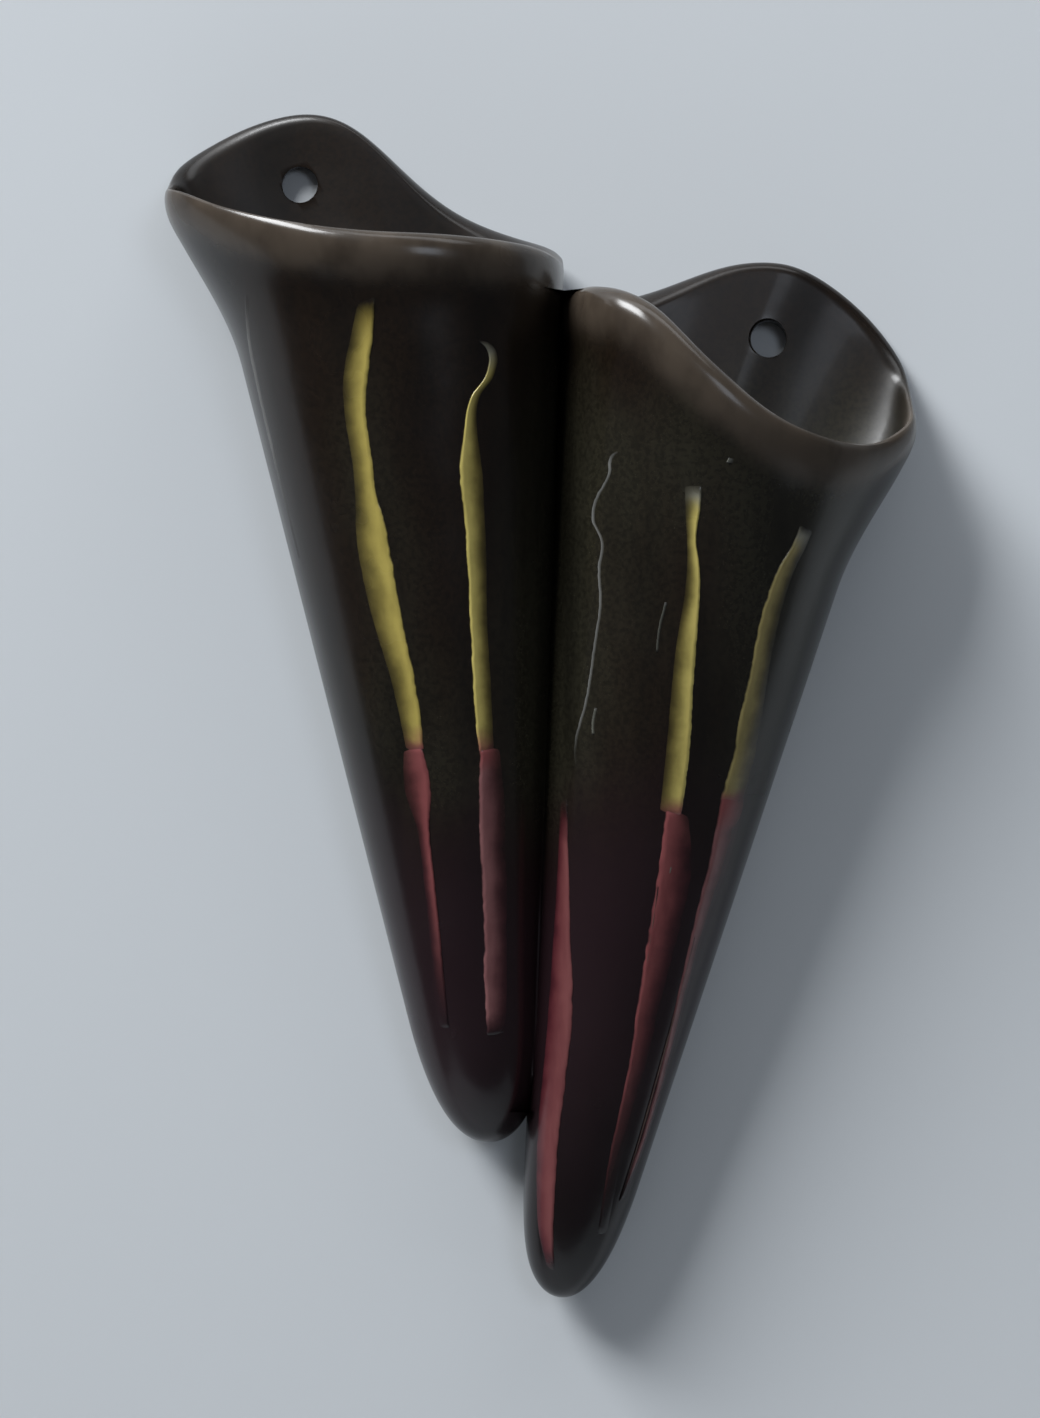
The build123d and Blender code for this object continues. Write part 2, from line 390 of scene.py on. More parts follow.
    def rim_height(self, turn: np.ndarray) -> np.ndarray:
        """Height along the axis at which each column of the wall meets the rim.

        Args:
            turn: Angles around the section.

        Returns:
            Heights above the tip.
        """
        low = np.full(turn.shape, self.lowest_rim)
        high = np.full(turn.shape, self.highest_rim)
        for _ in range(self.rim_steps):
            middle = (low + high) / 2
            points = self.skin(middle, turn, np.full(turn.shape, self.wall / 2))
            under = points[..., 2] < self.rim_level(points)
            low = np.where(under, middle, low)
            high = np.where(under, high, middle)
        offsets = np.arange(-3 * self.rim_easing, 3 * self.rim_easing + 1)
        weights = np.exp(-((offsets / self.rim_easing) ** 2))
        return sum(w * np.roll(low, k) for w, k in zip(weights / weights.sum(), offsets.tolist()))

    def front_spot(self, height: float, share: float) -> Vector:
        """Front-view spot at a height and a share of the radius across, on the wall plane."""
        swing = float(self.swing(np.array(height)))
        radius = float(self.radius(np.array(height), np.array(0.0))) + swing
        point = self.to_world(self.side.value * swing + share * radius, 0.0, height)
        return Vector(point) * MM


LEFT_SHAPE = ConeShape(
    side=Side.LEFT, tip_x=-4.7, tip_z=-72.9, lean=-5.9, cap_length=22.0, cap_radius=11.9,
    flare_start=134.0, flare_bend=72.0,
    front_rim=[
        (-61.5, 88.5), (-59.3, 86.3), (-56.0, 85.2), (-52.5, 82.7), (-45.9, 80.1), (-34.6, 77.0),
        (-23.7, 75.6), (-13.0, 75.3), (-2.2, 75.0), (3.2, 74.7), (5.3, 73.9), (6.8, 72.5), (7.9, 70.5),
        (9.5, 67.0),
    ],
    back_rim=[
        (-61.5, 84.0), (-59.3, 86.5), (-57.8, 91.2), (-54.4, 94.9), (-51.0, 97.1), (-47.6, 98.9),
        (-44.2, 100.1), (-40.8, 101.0), (-36.6, 101.4), (-34.0, 101.2), (-30.6, 100.1), (-27.2, 98.3),
        (-23.8, 95.4), (-20.4, 91.8), (-17.0, 88.6), (-13.6, 85.9), (-10.2, 83.6), (-6.8, 82.1),
        (0.0, 79.3), (9.5, 75.9),
    ],
    corner_x=-59.5, luting=1.6,
)
RIGHT_SHAPE = ConeShape(
    side=Side.RIGHT, tip_x=6.4, tip_z=-99.0, lean=10.0, cap_length=20.7, cap_radius=10.1,
    flare_start=125.0, flare_bend=101.0,
    front_rim=[
        (-4.0, 69.0), (7.9, 69.6), (12.9, 68.6), (19.8, 65.2), (29.7, 55.5), (41.2, 46.2), (49.0, 43.4),
        (55.5, 42.7), (60.0, 43.6), (63.0, 45.6), (64.5, 48.0), (67.0, 51.0),
    ],
    back_rim=[
        (-4.0, 66.0), (8.0, 67.0), (20.4, 69.9), (25.5, 71.7), (30.6, 74.0), (35.7, 75.5), (40.8, 76.0),
        (45.9, 75.5), (51.0, 73.4), (56.1, 69.9), (61.2, 64.9), (63.75, 60.6), (65.5, 54.5), (67.5, 50.0),
    ],
    corner_x=66.0, luting=2.5,
)


# Meshes


def shell_mesh(name: str, grid: np.ndarray, marks: dict) -> bpy.types.Object:
    """A closed skin from rings that start and end in a pole.

    Args:
        name: Name of the object.
        grid: Rings of points, as (rings, columns, 3) in millimetres.
        marks: Values of each point, as (rings, columns), by the name of their attribute.

    Returns:
        The object, its faces pointing outwards and its poles closed.
    """
    rings, columns = grid.shape[:2]
    points = (grid.reshape(-1, 3) * MM).tolist()
    first = (grid[0].mean(axis=0) * MM).tolist()
    last = (grid[-1].mean(axis=0) * MM).tolist()
    faces = []
    for ring in range(rings - 1):
        for column in range(columns):
            beside = (column + 1) % columns
            row, above = ring * columns, (ring + 1) * columns
            faces.append((row + column, row + beside, above + beside, above + column))
    foot, floor = len(points), len(points) + 1
    top = (rings - 1) * columns
    for column in range(columns):
        beside = (column + 1) % columns
        faces.append((foot, beside, column))
        faces.append((top + column, top + beside, floor))
    mesh = bpy.data.meshes.new(name)
    mesh.from_pydata(points + [first, last], [], faces)
    for mark, values in marks.items():
        ends = [values[0].mean(), values[-1].mean()]
        layer = mesh.attributes.new(mark, "FLOAT", "POINT")
        layer.data.foreach_set("value", np.append(values.reshape(-1), ends).astype(np.float32))
    return finish_mesh(name, mesh)


def finish_mesh(name: str, mesh: bpy.types.Mesh) -> bpy.types.Object:
    """Merge doubles, turn faces outwards, shade smooth and link a new object."""
    work = bmesh.new()
    work.from_mesh(mesh)
    bmesh.ops.remove_doubles(work, verts=work.verts, dist=1e-6)
    bmesh.ops.recalc_face_normals(work, faces=work.faces)
    work.to_mesh(mesh)
    work.free()
    mesh.polygons.foreach_set("use_smooth", [True] * len(mesh.polygons))
    made = bpy.data.objects.new(name, mesh)
    bpy.context.scene.collection.objects.link(made)
    return made


def apply_modifiers(made: bpy.types.Object) -> None:
    """Replace an object's mesh by its evaluated one and drop the modifiers."""
    graph = bpy.context.evaluated_depsgraph_get()
    evaluated = made.evaluated_get(graph)
    mesh = bpy.data.meshes.new_from_object(evaluated, preserve_all_data_layers=True, depsgraph=graph)
    made.modifiers.clear()
    made.data = mesh


# Finishes


@dataclass(frozen=True)
class GlazeColours:
    """Linear colours of the dark glaze."""

    black: tuple = (0.002, 0.0017, 0.0013)
    brown: tuple = (0.012, 0.007, 0.004)
    # Olive: a mottled glaze tone that also stands in for a painted sheen of reflected light between the
    # trails.
    olive_sheen: tuple = (0.024, 0.022, 0.014)
    plum: tuple = (0.018, 0.0085, 0.0115)
    lip: tuple = (0.070, 0.054, 0.040)


@dataclass(frozen=True)
class DarkGlaze:
    """Glossy brown-black glaze that breaks paler over the lips."""

    colours: GlazeColours = GlazeColours()
    drift: float = 0.05
    # Heights of the olive band, which is partly a painted sheen.
    cloud_steps: tuple = (0.40, 0.64)
    sheen_panel_top: tuple = (0.066, 0.040)
    sheen_panel_foot: tuple = (-0.030, -0.005)
    streak_steps: tuple = (0.42, 0.75)
    streaks: float = 0.55
    grain_steps: tuple = (0.35, 0.7)
    grains: float = 0.45
    plum_fall: tuple = (0.000, -0.045)
    plums: float = 0.8
    tip_fall: tuple = (-0.060, -0.090)
    tips: float = 0.7
    gloss: float = 0.21
    gloss_spread: float = 0.08
    inside_matt: float = 0.16

    def colour(self, loom: Loom, place: Wire, lip: Wire | float) -> Wire:
        """Colour of the dark glaze.

        Args:
            loom: The material's tree.
            place: Object coordinates.
            lip: How much of the lip's colour shows.

        Returns:
            The colour.
        """
        c = self.colours
        height = loom.add("ShaderNodeSeparateXYZ", {}, {0: place})["Z"]
        drift = (loom.noise(place, 34.0, 3.0, (1, 1, 0.5)) - 0.5) * self.drift + height
        cloud = loom.noise(place, 30.0, 4.0, (1, 1, 0.25)).ramp(*self.cloud_steps)
        # Olive panels in a band of middle heights: a mottled glaze tone, partly a painted sheen of reflected
        # light.
        sheen_panel = cloud * drift.ramp(*self.sheen_panel_top) * drift.ramp(*self.sheen_panel_foot)
        streak = loom.noise(place, 130.0, 3.0, (1, 1, 0.1)).ramp(*self.streak_steps)
        grain = loom.noise(place, 1300.0, 3.0).ramp(*self.grain_steps)
        base = loom.mix(sheen_panel, c.brown, c.olive_sheen)
        base = loom.mix(streak * self.streaks, base, c.black)
        base = loom.mix(grain * self.grains, base, c.black)
        base = loom.mix(drift.ramp(*self.plum_fall) * self.plums, base, c.plum)
        base = loom.mix(drift.ramp(*self.tip_fall) * self.tips, base, c.black)
        return loom.mix(lip, base, c.lip)

    def shade(self, loom: Loom, colour: Wire, place: Wire, matt: Wire | float = 0.0) -> None:
        """Close the material with the glaze's gloss.

        Args:
            loom: The material's tree.
            colour: The base colour.
            place: Object coordinates.
            matt: How much rougher the glaze is.
        """
        ripple = loom.noise(place, 85.0, 2.0) * 0.7 + loom.noise(place, 420.0, 2.0) * 0.12
        bump = loom.add("ShaderNodeBump", {}, {"Strength": 0.2, "Distance": 0.0006, "Height": ripple})
        rough = loom.noise(place, 60.0, 3.0).ramp(0.3, 0.8) * self.gloss_spread + self.gloss + matt
        glaze = loom.add(
            "ShaderNodeBsdfPrincipled", {},
            {"Base Color": colour, "Roughness": rough, "Normal": bump, "IOR": 1.45,
             "Coat Weight": 0.1, "Coat Roughness": 0.12},
        )
        loom.add("ShaderNodeOutputMaterial", {}, {"Surface": glaze})

    def material(self, name: str) -> bpy.types.Material:
        """The dark glaze as a material."""
        loom, made = open_material(name)
        place = loom.add("ShaderNodeTexCoord")["Object"]
        lip = loom.add("ShaderNodeAttribute", {"attribute_name": "lip"})["Fac"]
        inside = loom.add("ShaderNodeAttribute", {"attribute_name": "inside"})["Fac"]
        edge = loom.noise(place, 160.0, 3.0, (1, 1, 0.6)).ramp(0.3, 0.7) * 0.5 + 0.6
        colour = self.colour(loom, place, (lip * edge).ramp(0.0, 1.15))
        self.shade(loom, colour, place, inside * self.inside_matt)
        return made


@dataclass(frozen=True)
class TrailGlaze:
    """A coloured glaze trail: a hard edge, and an edge that fades into the dark glaze."""

    body: tuple
    edge: tuple
    head: tuple
    tail: tuple
    strength: float = 1.0
    fade_start: float = 0.08
    head_fade: float = 0.05
    tail_fade: float = 0.05

    def material(self, name: str) -> bpy.types.Material:
        """The trail as a material, which reads its own along and across attributes."""
        loom, made = open_material(name)
        dark = DarkGlaze()
        place = loom.add("ShaderNodeTexCoord")["Object"]
        across = loom.add("ShaderNodeAttribute", {"attribute_name": "across"})["Fac"]
        along = loom.add("ShaderNodeAttribute", {"attribute_name": "along"})["Fac"]
        wobble = (loom.noise(place, 240.0, 4.0) - 0.5) * 0.55
        drift = along + wobble * 0.12
        soft = (across + wobble * 0.7).ramp(1.0, self.fade_start) ** 1.3
        hard = (across + wobble * 0.2).ramp(0.01, 0.07)
        ends = drift.ramp(0.0, self.head_fade) * drift.ramp(1.0, 1.0 - self.tail_fade)
        grain = loom.noise(place, 600.0, 3.0, (1, 1, 0.2)).ramp(0.3, 0.8)
        colour = loom.mix((across + wobble * 0.5).ramp(0.15, 0.8), self.body, self.edge)
        colour = loom.mix(grain * 0.35, colour, self.edge)
        colour = loom.mix(drift.ramp(0.10, 0.03), colour, self.head)
        colour = loom.mix(drift.ramp(0.93, 1.0), colour, self.tail)
        base = dark.colour(loom, place, 0.0)
        dark.shade(loom, loom.mix(soft * hard * ends * self.strength, base, colour), place)
        return made


def open_material(name: str) -> tuple[Loom, bpy.types.Material]:
    """An empty node material and the wrapper of its tree."""
    made = bpy.data.materials.new(name)
    made.use_nodes = True
    made.node_tree.nodes.clear()
    return Loom(made.node_tree), made


# Pieces


@dataclass
class Cone:
    """One slip-cast cone with a rolled lip and a pierced back lobe."""

    node: str
    shape: ConeShape
    hole_x: float
    hole_z: float
    hole_radius: float = 3.05
    hole_ease: float = 0.55
    hole_overrun: float = 2.5
    hole_straight: float = 0.45
    hole_rounded: float = 0.55
    hole_margin: float = 0.15
    hole_rings: int = 15
    hole_turns: int = 64
    columns: int = 288
    outer_rows: int = 130
    lip_rows: int = 12
    inner_rows: int = 84
    tip_crowding: float = 1.5
    rim_crowding: float = 0.9
    back_lip: float = 0.1
    inner_lip: float = 0.3
    turned_lip: float = 0.6
    lip_turn: float = 2.4
    floor_ease: float = 0.4
    sharp_angle: float = 30.0

    def rings(self) -> tuple[np.ndarray, dict]:
        """Rings from the tip up the outside, over the lip and down the inside.

        Returns:
            The points, and how much each one belongs to the lip and to the inside.
        """
        s = self.shape
        turn = np.linspace(0, 2 * math.pi, self.columns, endpoint=False)
        top = s.rim_height(turn)
        rim_points = s.skin(top, turn, np.full(turn.shape, s.wall / 2))
        front = smooth((-rim_points[:, 1] - s.wall) / s.rim_blend)
        bead = s.bead * front
        roll = s.wall / 2 + bead
        edge = top - roll
        rise = roll * (1 + s.lip_stretch * front)
        shoulder = top - rise
        shown = self.back_lip + (1 - self.back_lip) * front
        grid, lip, inside = [], [], []
        for share in np.linspace(0, 1, self.outer_rows + 1)[1:]:
            spaced = share**self.tip_crowding * (1 - share) + share * share**self.rim_crowding
            height = shoulder * spaced
            near = np.exp(-(((shoulder - height) / s.bead_fall) ** 2))
            grid.append(s.skin(height, turn, -(bead * near)))
            lip.append(near * shown)
            inside.append(0 * front)
        for angle in np.linspace(0, math.pi, self.lip_rows + 1)[1:]:
            outer = angle < math.pi / 2
            reach = roll if outer else s.wall / 2 + bead * s.inner_bead
            base, tall = (shoulder, rise) if outer else (edge, roll)
            grid.append(s.skin(base + tall * math.sin(angle), turn, s.wall / 2 - reach * math.cos(angle)))
            lip.append(shown * (1 if angle < self.lip_turn else self.turned_lip))
            inside.append(0 * front + max(0.0, angle / math.pi * 2 - 1) ** 2)
        floor = s.tip_wall + self.floor_ease
        for share in np.linspace(1, 0, self.inner_rows + 1)[1:]:
            height = floor + (edge - s.tip_wall - self.floor_ease) * share
            near = np.exp(-(((edge - height) / s.bead_fall) ** 2))
            grid.append(s.skin(height, turn, s.wall + bead * near * s.inner_bead))
            lip.append(near * self.inner_lip * front)
            inside.append(0 * front + 1)
        spots = np.array(grid)
        spots[:, :, 1] = np.minimum(spots[:, :, 1], 0.0)
        return spots, {"lip": np.array(lip), "inside": np.array(inside)}

    def bore(self, made: bpy.types.Object) -> None:
        """Bore the hanging hole with a spool, which leaves soft edges."""
        half = self.shape.wall / 2
        mouth = self.hole_radius + self.hole_ease
        profile = [(mouth, -self.shape.wall - self.hole_overrun)]
        for share in np.linspace(-1, 1, self.hole_rings):
            flare = self.hole_ease * max(0.0, (abs(share) - self.hole_straight) / self.hole_rounded) ** 2
            profile.append((self.hole_radius + flare, -half + share * (half + self.hole_margin)))
        profile.append((mouth, self.hole_overrun))
        angles = np.linspace(0, 2 * math.pi, self.hole_turns, endpoint=False)
        grid = np.array([
            [(self.hole_x + r * math.cos(a), y, self.hole_z + r * math.sin(a)) for a in angles]
            for r, y in profile
        ])
        spool = shell_mesh("spool", grid, {})
        cut = made.modifiers.new("hole", "BOOLEAN")
        cut.operation = "DIFFERENCE"
        cut.solver = "EXACT"
        cut.object = spool
        apply_modifiers(made)
        made.data.set_sharp_from_angle(angle=math.radians(self.sharp_angle))
        bpy.data.objects.remove(spool)

    def build(self, glaze: bpy.types.Material) -> bpy.types.Object:
        """Make, bore and dress the cone.

        Args:
            glaze: The dark glaze.

        Returns:
            The finished piece.
        """
        made = shell_mesh(self.node + "_glazed", *self.rings())
        made.data.materials.append(glaze)
        self.bore(made)
        settle(made, self.node)
        return made


def settle(made: bpy.types.Object, node: str, stands_for_solid: bool = True) -> None:
    """Tie a finished piece to the frame."""
    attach(made, "root")
    if stands_for_solid:
        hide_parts(node)
    LOG.info("%s: %d faces", made.name, len(made.data.polygons))


@dataclass
class SeamSlip:
    """The slip smoothed into the valley between the cones."""

    left: bpy.types.Object
    right: bpy.types.Object
    seam: Seam = Seam()
    top: float = 68.4
    bottom: float = -67.0
    reach: float = 5.5
    rows: int = 170
    columns: int = 36
    fill: float = 2.4
    sink: float = 0.03
    end_sink: float = 0.5
    end_length: float = 9.0
    end_fill: float = 0.1
    root: float = 1.5
    ray_start: float = -150.0
    sharp_angle: float = 40.0

    def section(self, skins: list, z: float, share: float) -> list:
        """One section of the slip, from the left cone to the right one and back inside.

        A place that looks at neither cone takes the nearest point that does.

        Args:
            skins: The search trees of the two cones' skins.
            z: Its height in millimetres.
            share: 0 at an end of the seam and 1 away from it.

        Returns:
            Points in millimetres.
        """
        middle = float(self.seam.at(z))
        fill = self.fill * (self.end_fill + (1 - self.end_fill) * share)
        ease = self.sink + self.end_sink * (1 - share)
        places = np.linspace(middle - self.reach, middle + self.reach, self.columns + 1).tolist()
        seen = []
        for x in places:
            start = Vector((x, self.ray_start, z)) * MM
            spots = [skin.ray_cast(start, Vector(TO_WALL))[0] for skin in skins]
            if not any(spots):
                continue
            left, right = (-spot.y / MM if spot else 0.0 for spot in spots)
            lift = max(fill - abs(left - right), 0.0) ** 2 / (4 * fill)
            seen.append((x, min(ease - max(left, right) - lift, 0.0), z))
        points = [min(seen, key=lambda point: abs(point[0] - x)) for x in places]
        back = min(max(y for _, y, _ in points) + self.root, 0.0)
        return points + [(points[-1][0], back, z), (points[0][0], back, z)]

    def build(self, glaze: bpy.types.Material) -> bpy.types.Object:
        """Make and dress the slip.

        Args:
            glaze: The dark glaze.

        Returns:
            The finished piece.
        """
        graph = bpy.context.evaluated_depsgraph_get()
        skins = [BVHTree.FromObject(cone, graph) for cone in (self.left, self.right)]
        levels = np.linspace(self.bottom, self.top, self.rows)
        away = smooth(np.minimum(levels - self.bottom, self.top - levels) / self.end_length)
        grid = np.array([self.section(skins, z, share) for z, share in zip(levels.tolist(), away.tolist())])
        made = shell_mesh("front_seam_slip_glazed", grid, {})
        made.data.set_sharp_from_angle(angle=math.radians(self.sharp_angle))
        made.data.materials.append(glaze)
        settle(made, "front_seam_slip")
        return made


@dataclass
class Trail:
    """One dripped glaze trail: its edges in heights and shares across the cone's radius."""

    node: str
    finish: TrailGlaze
    slot: str
    rows: list
    hard_low: bool
    relief: float = 0.36
    spread: float = 1.7
    ragged: float = 0.13
    seed: float = 0.0
    stands_for_solid: bool = True


@dataclass
class Mark(Trail):
    """A small mark in the glaze, which stands for no solid."""

    stands_for_solid: bool = False


def edge_curve(name: str, spots: list) -> bpy.types.Object:
    """A smooth open curve through the spots of a trail's edge."""
    line = bpy.data.curves.new(name, "CURVE")
    line.dimensions = "3D"
    line.resolution_u = EDGE_STEPS
    spline = line.splines.new("BEZIER")
    spline.bezier_points.add(len(spots) - 1)
    for point, spot in zip(spline.bezier_points, spots):
        point.co = spot
        point.handle_left_type = "AUTO"
        point.handle_right_type = "AUTO"
    made = bpy.data.objects.new(name, line)
    bpy.context.scene.collection.objects.link(made)
    return made


class TrailNodes:
    """Geometry nodes that lay a trail on its cone between two edge curves."""

    INPUTS = [
        ("Hard Edge", "NodeSocketObject"), ("Soft Edge", "NodeSocketObject"), ("Cone", "NodeSocketObject"),
        ("Relief", "NodeSocketFloat"), ("Ragged", "NodeSocketFloat"), ("Seed", "NodeSocketFloat"),
        ("Finish", "NodeSocketMaterial"),
    ]
    COLUMNS, ROWS = 21, 131
    NOISE_RUN, NOISE_SCALE = 14.0, 2.6
    STEP_BACK, RAY_LENGTH = (0.0, -0.1, 0.0), 0.2
    HARD_RUN, FALL, HEAD_RUN, TAIL_START = 0.10, 1.2, 0.02, 0.985
    SINK, WELD = -0.00008, 0.000004

    def __init__(self) -> None:
        """Build the tree."""
        self.tree = bpy.data.node_groups.new("glaze_trail", "GeometryNodeTree")
        face = self.tree.interface
        face.new_socket("Geometry", in_out="INPUT", socket_type="NodeSocketGeometry")
        for name, kind in self.INPUTS:
            face.new_socket(name, in_out="INPUT", socket_type=kind)
        face.new_socket("Geometry", in_out="OUTPUT", socket_type="NodeSocketGeometry")
        self._wire(Loom(self.tree))

    @staticmethod
    def _vector(loom: Loom, operation: str, sockets: dict) -> Wire:
        """A Vector Math node."""
        return loom.add("ShaderNodeVectorMath", {"operation": operation}, sockets)

    def _wire(self, loom: Loom) -> None:
        """Connect the nodes.

        Args:
            loom: The wrapper of the tree.
        """
        given = loom.add("NodeGroupInput")
        grid = loom.add("GeometryNodeMeshGrid", {}, {0: 1.0, 1: 1.0, 2: self.COLUMNS, 3: self.ROWS})
        place = loom.add("ShaderNodeSeparateXYZ", {}, {0: loom.add("GeometryNodeInputPosition")})
        across, along = place["X"] + 0.5, place["Y"] + 0.5
        seeds = loom.add("ShaderNodeCombineXYZ", {}, {0: given["Seed"], 1: along * self.NOISE_RUN, 2: 0.0})
        noise = {"Vector": seeds, "Scale": self.NOISE_SCALE, "Detail": 4.0}
        rough = loom.add("ShaderNodeTexNoise", {}, noise) - 0.5
        shifted = across + rough * given["Ragged"] * (1.0 - across)
        spots = []
        for name in ("Hard Edge", "Soft Edge"):
            info = loom.add("GeometryNodeObjectInfo", {"transform_space": "ORIGINAL"}, {0: given[name]})
            sample = loom.add(
                "GeometryNodeSampleCurve", {"mode": "FACTOR", "use_all_curves": True},
                {"Curves": info["Geometry"], "Factor": along},
            )
            spots.append(sample["Position"])
        spot = loom.add(
            "ShaderNodeMix", {"data_type": "VECTOR"}, {0: shifted, 4: spots[0], 5: spots[1]}
        ).socket.node.outputs[1]
        away = self._vector(loom, "ADD", {0: Wire(loom, spot), 1: self.STEP_BACK})
        cone = loom.add("GeometryNodeObjectInfo", {"transform_space": "ORIGINAL"}, {0: given["Cone"]})
        ray = loom.add(
            "GeometryNodeRaycast", {},
            {"Target Geometry": cone["Geometry"], "Source Position": away, "Ray Direction": TO_WALL,
             "Ray Length": self.RAY_LENGTH},
        )
        rise = across.ramp(0.0, self.HARD_RUN) * (1.0 - across) ** self.FALL
        rise = rise * along.ramp(0.0, self.HEAD_RUN) * along.ramp(1.0, self.TAIL_START)
        skins = []
        for lift in (rise * given["Relief"] + self.SINK, self.SINK):
            push = self._vector(loom, "SCALE", {0: ray["Hit Normal"], "Scale": lift})
            skins.append(self._vector(loom, "ADD", {0: ray["Hit Position"], 1: push}))
        stored = loom.add(
            "GeometryNodeStoreNamedAttribute", {"data_type": "FLOAT", "domain": "POINT"},
            {"Geometry": grid, "Name": "across", "Value": across},
        )
        stored = loom.add(
            "GeometryNodeStoreNamedAttribute", {"data_type": "FLOAT", "domain": "POINT"},
            {"Geometry": stored, "Name": "along", "Value": along},
        )
        top = loom.add("GeometryNodeSetPosition", {}, {"Geometry": stored, "Position": skins[0]})
        bottom = loom.add("GeometryNodeSetPosition", {}, {"Geometry": stored, "Position": skins[1]})
        bottom = loom.add("GeometryNodeFlipFaces", {}, {0: bottom})
        both = loom.add("GeometryNodeJoinGeometry", {}, {0: bottom})
        self.tree.links.new(top.socket, both.socket.node.inputs[0])
        sealed = loom.add("GeometryNodeMergeByDistance", {}, {"Geometry": both, "Distance": self.WELD})
        evened = loom.add("GeometryNodeSetShadeSmooth", {}, {"Geometry": sealed})
        real = loom.add("GeometryNodeRealizeInstances", {}, {0: evened})
        dressed = loom.add("GeometryNodeSetMaterial", {}, {"Geometry": real, "Material": given["Finish"]})
        loom.add("NodeGroupOutput", {}, {0: dressed})

    def lay(self, trail: Trail, shape: ConeShape, cone: bpy.types.Object) -> bpy.types.Object:
        """Lay one trail and turn it into a plain mesh.

        Args:
            trail: The trail's sizes and finish.
            shape: The cone's shape.
            cone: The cone's finished piece.

        Returns:
            The finished piece.
        """
        hard, soft = [], []
        for height, low, high in trail.rows:
            firm, faint = (low, high) if trail.hard_low else (high, low)
            hard.append(shape.front_spot(height, firm))
            soft.append(shape.front_spot(height, firm + (faint - firm) * trail.spread))
        edges = [edge_curve("hard_edge", hard), edge_curve("soft_edge", soft)]
        mesh = bpy.data.meshes.new(trail.node)
        made = bpy.data.objects.new(trail.node + "_glazed", mesh)
        bpy.context.scene.collection.objects.link(made)
        wrap = made.modifiers.new("trail", "NODES")
        wrap.node_group = self.tree
        values = dict(zip((name for name, _ in self.INPUTS), [
            edges[0], edges[1], cone, trail.relief * MM, trail.ragged, trail.seed,
            trail.finish.material(trail.node),
        ]))
        for item in self.tree.interface.items_tree:
            if item.in_out == "INPUT" and item.name in values:
                wrap[item.identifier] = values[item.name]
        apply_modifiers(made)
        for edge in edges:
            bpy.data.objects.remove(edge)
        settle(made, trail.node, trail.stands_for_solid)
        return made


# Trail colours and lines

MUSTARD, GOLD = (0.46, 0.37, 0.095), (0.60, 0.50, 0.15)
STRAW, SAND = (0.22, 0.17, 0.04), (0.26, 0.25, 0.19)
CRIMSON, ROSE, WINE = (0.26, 0.075, 0.075), (0.25, 0.11, 0.11), (0.07, 0.010, 0.016)
GREY, ASH = (0.22, 0.22, 0.21), (0.07, 0.068, 0.06)
OCHRE, UMBER = (0.34, 0.28, 0.11), (0.10, 0.08, 0.03)
# DUSK is a trail's red. The next two are a painted highlight: pinkish-grey light caught along the raised
# ridges, and its darker red fade.
DUSK, HIGHLIGHT_PINK, HIGHLIGHT_RED = (0.19, 0.062, 0.062), (0.16, 0.115, 0.095), (0.07, 0.035, 0.035)
CHALK, STONE = (0.19, 0.19, 0.16), (0.10, 0.10, 0.08)
YELLOW = TrailGlaze(GOLD, STRAW, SAND, CRIMSON, tail_fade=0.005)
PLAIN_YELLOW = TrailGlaze(MUSTARD, STRAW, STRAW, CRIMSON, tail_fade=0.005)
DULL_YELLOW = TrailGlaze(OCHRE, UMBER, SAND, CRIMSON, strength=0.95, tail_fade=0.005)
BLUSH = TrailGlaze(DUSK, WINE, WINE, WINE, strength=0.9, fade_start=0.5, head_fade=0.1)
EMBER = TrailGlaze(CRIMSON, WINE, CRIMSON, WINE, strength=0.9, head_fade=0.005, tail_fade=0.65)
PINK = TrailGlaze(ROSE, WINE, CRIMSON, WINE, strength=0.95, head_fade=0.005, tail_fade=0.10)
PALE = TrailGlaze(GREY, ASH, GREY, ASH, strength=0.75, tail_fade=0.2)
FLECK = TrailGlaze(CHALK, STONE, GREY, ASH, strength=0.9)
# Painted highlight: pinkish-grey light caught along raised ridges of the glaze, fading to dark red.
RIDGE_HIGHLIGHT = TrailGlaze(HIGHLIGHT_PINK, HIGHLIGHT_RED, ASH, WINE, strength=0.85, head_fade=0.2, tail_fade=0.3)
FAINT = TrailGlaze(GREY, ASH, ASH, ASH, strength=0.5, head_fade=0.2, tail_fade=0.6)

